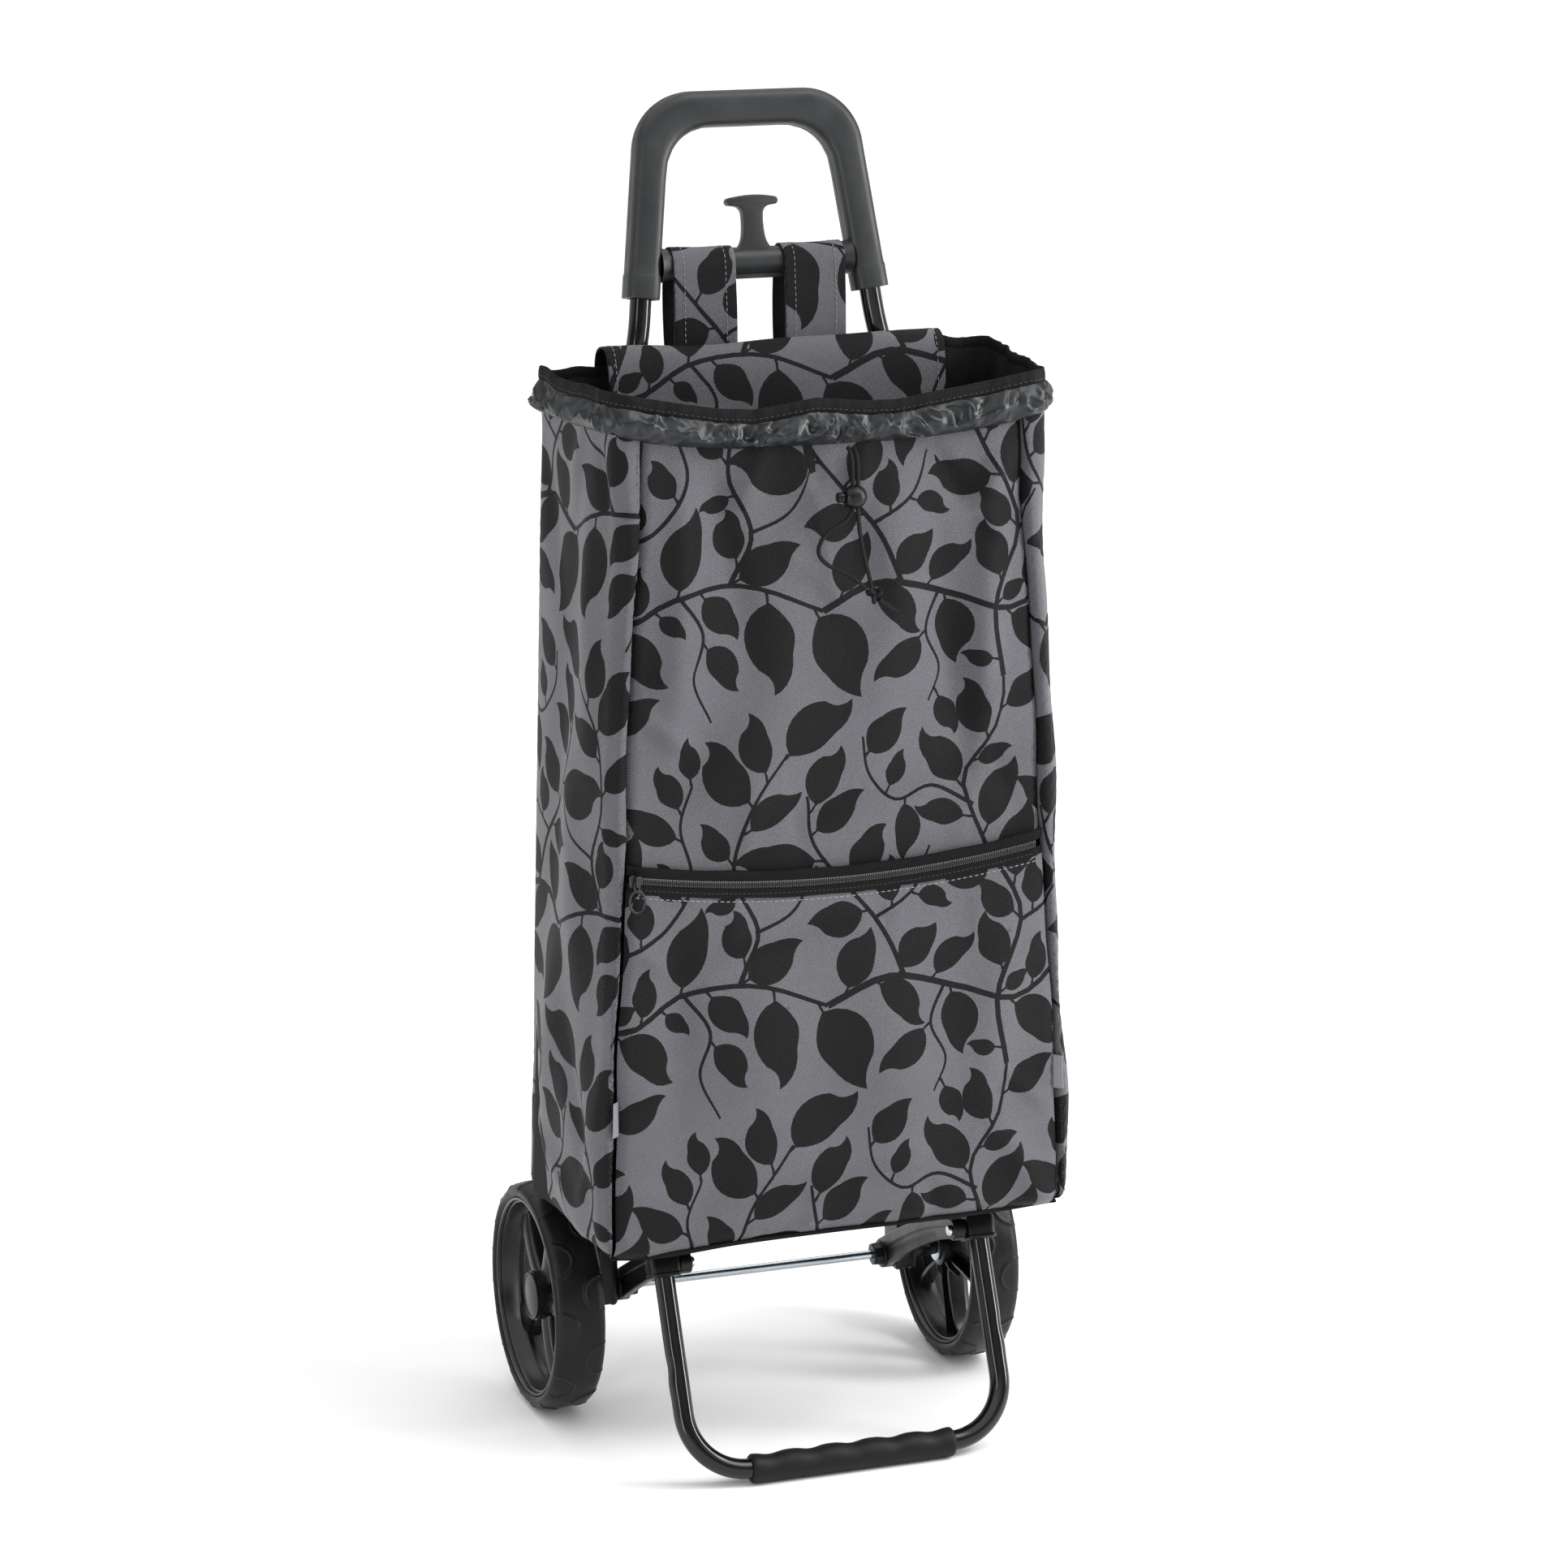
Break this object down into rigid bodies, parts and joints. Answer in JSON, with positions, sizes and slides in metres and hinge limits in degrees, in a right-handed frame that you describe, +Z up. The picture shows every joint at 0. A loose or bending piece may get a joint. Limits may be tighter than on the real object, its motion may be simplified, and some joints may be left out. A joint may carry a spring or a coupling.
{
  "type": "shopping trolley",
  "caption": "Two-wheeled shopping trolley with a moulded handle, a printed fabric bag with drawstring mouth and lid flap, and a folding front foot.",
  "frame": {"origin": "on the floor, at the middle of the standing trolley's footprint", "axes": "+Z up; X along the axle; the bag's front and the foot face -Y, the rear tubes and wheels are at +Y"},
  "size_m": [0.378, 0.3092, 0.9948],
  "materials": {
    "handle_plastic": "satin, fine-grained dark grey moulding",
    "black_plastic": "black satin moulding",
    "white_nylon": "natural nylon",
    "black_paint": "gloss black powder coat",
    "tyre_rubber": "matt black",
    "grip_rubber": "matt black moulded grip",
    "zinc_steel": "bright zinc plate",
    "zip_metal": "dark enamelled zip metal",
    "printed_cloth": "grey polyester twill printed with black leaves",
    "black_nylon": "coated black nylon",
    "black_tape": "black woven tape",
    "cord": "black braided cord",
    "label_cloth": "plain grey woven tab",
    "board": "black stiffener board"
  },
  "bodies": {
    "frame": {"rear_tube_left": "black_paint", "axle_bracket_left": "black_plastic", "support_arm_left": "black_plastic", "pivot_pin_left": "zinc_steel", "rear_tube_right": "black_paint", "axle_bracket_right": "black_plastic", "support_arm_right": "black_plastic", "pivot_pin_right": "zinc_steel", "axle_rod": "zinc_steel", "axle_washer_left": "zinc_steel", "axle_spacer_left": "black_plastic", "push_nut_left": "zinc_steel", "axle_washer_right": "zinc_steel", "axle_spacer_right": "black_plastic", "push_nut_right": "zinc_steel", "handle_front_shell": "handle_plastic", "handle_rear_shell": "handle_plastic", "handle_screw_left": "zinc_steel", "handle_screw_right": "zinc_steel", "crossbar_with_hook": "handle_plastic", "bag_front_panel": "printed_cloth", "pocket_panel": "printed_cloth", "bag_gusset_left": "printed_cloth", "label_tab_left": "label_cloth", "bag_gusset_right": "printed_cloth", "label_tab_right": "label_cloth", "bag_back_panel": "black_nylon", "bag_base": "black_tape", "base_board": "board", "mouth_collar": "black_nylon", "collar_binding": "black_tape", "lid_flap_root": "printed_cloth", "strap_left": "printed_cloth", "strap_right": "printed_cloth", "zip_tape_upper": "black_tape", "zip_tape_lower": "black_tape", "zip_coil": "black_plastic", "drawcord_straight": "cord", "drawcord_loop": "cord", "cord_knot": "cord", "drawcord_tail": "cord"},
    "wheel_left": {"tyre_left": "tyre_rubber", "rim_left": "black_plastic", "hub_bush_left": "white_nylon", "hub_cap_left": "black_plastic"},
    "wheel_right": {"tyre_right": "tyre_rubber", "rim_right": "black_plastic", "hub_bush_right": "white_nylon", "hub_cap_right": "black_plastic"},
    "foot": {"foot_tube": "black_paint", "foot_grip": "grip_rubber", "foot_clip_left": "black_plastic", "foot_clip_right": "black_plastic", "foot_tube_plug_left": "black_plastic", "foot_tube_plug_right": "black_plastic"},
    "lid": {"lid_flap": "printed_cloth"},
    "slider": {"zip_slider": "zip_metal"},
    "puller": {"zip_puller": "zip_metal"},
    "cord_lock": {"cord_lock_body": "black_plastic"},
    "lock_button": {"cord_lock_button": "black_plastic"}
  },
  "joints": [
    {"name": "wheel_left_spin", "type": "hinge", "parent": "frame", "child": "wheel_left", "pos_m": [-0.168, 0.0671, 0.0875], "axis": [1, 0, 0], "continuous": true},
    {"name": "wheel_right_spin", "type": "hinge", "parent": "frame", "child": "wheel_right", "pos_m": [0.168, 0.0671, 0.0875], "axis": [1, 0, 0], "continuous": true},
    {"name": "foot_fold", "type": "hinge", "parent": "frame", "child": "foot", "pos_m": [0, -0.0791, 0.153], "axis": [1, 0, 0], "range_deg": [0, 75]},
    {"name": "lid_open", "type": "hinge", "parent": "frame", "child": "lid", "pos_m": [0, 0.0275, 0.8187], "axis": [-1, 0, 0], "range_deg": [0, 165]},
    {"name": "zip_run", "type": "hinge", "parent": "frame", "child": "slider", "pos_m": [0, -0.1087, 1.3758], "axis": [0, -1, 0], "range_deg": [0, 19.2]},
    {"name": "puller_swing", "type": "hinge", "parent": "slider", "child": "puller", "pos_m": [-0.1552, -0.1161, 0.456], "axis": [-1, 0, 0], "range_deg": [0, 80]},
    {"name": "cord_lock_slide", "type": "slide", "parent": "frame", "child": "cord_lock", "axis": [0, 0, 1], "range_m": [0, 0.012]},
    {"name": "cord_lock_press", "type": "slide", "parent": "cord_lock", "child": "lock_button", "axis": [1, 0, 0], "range_m": [0, 0.0028], "stiffness_N_per_m": 400}
  ]
}
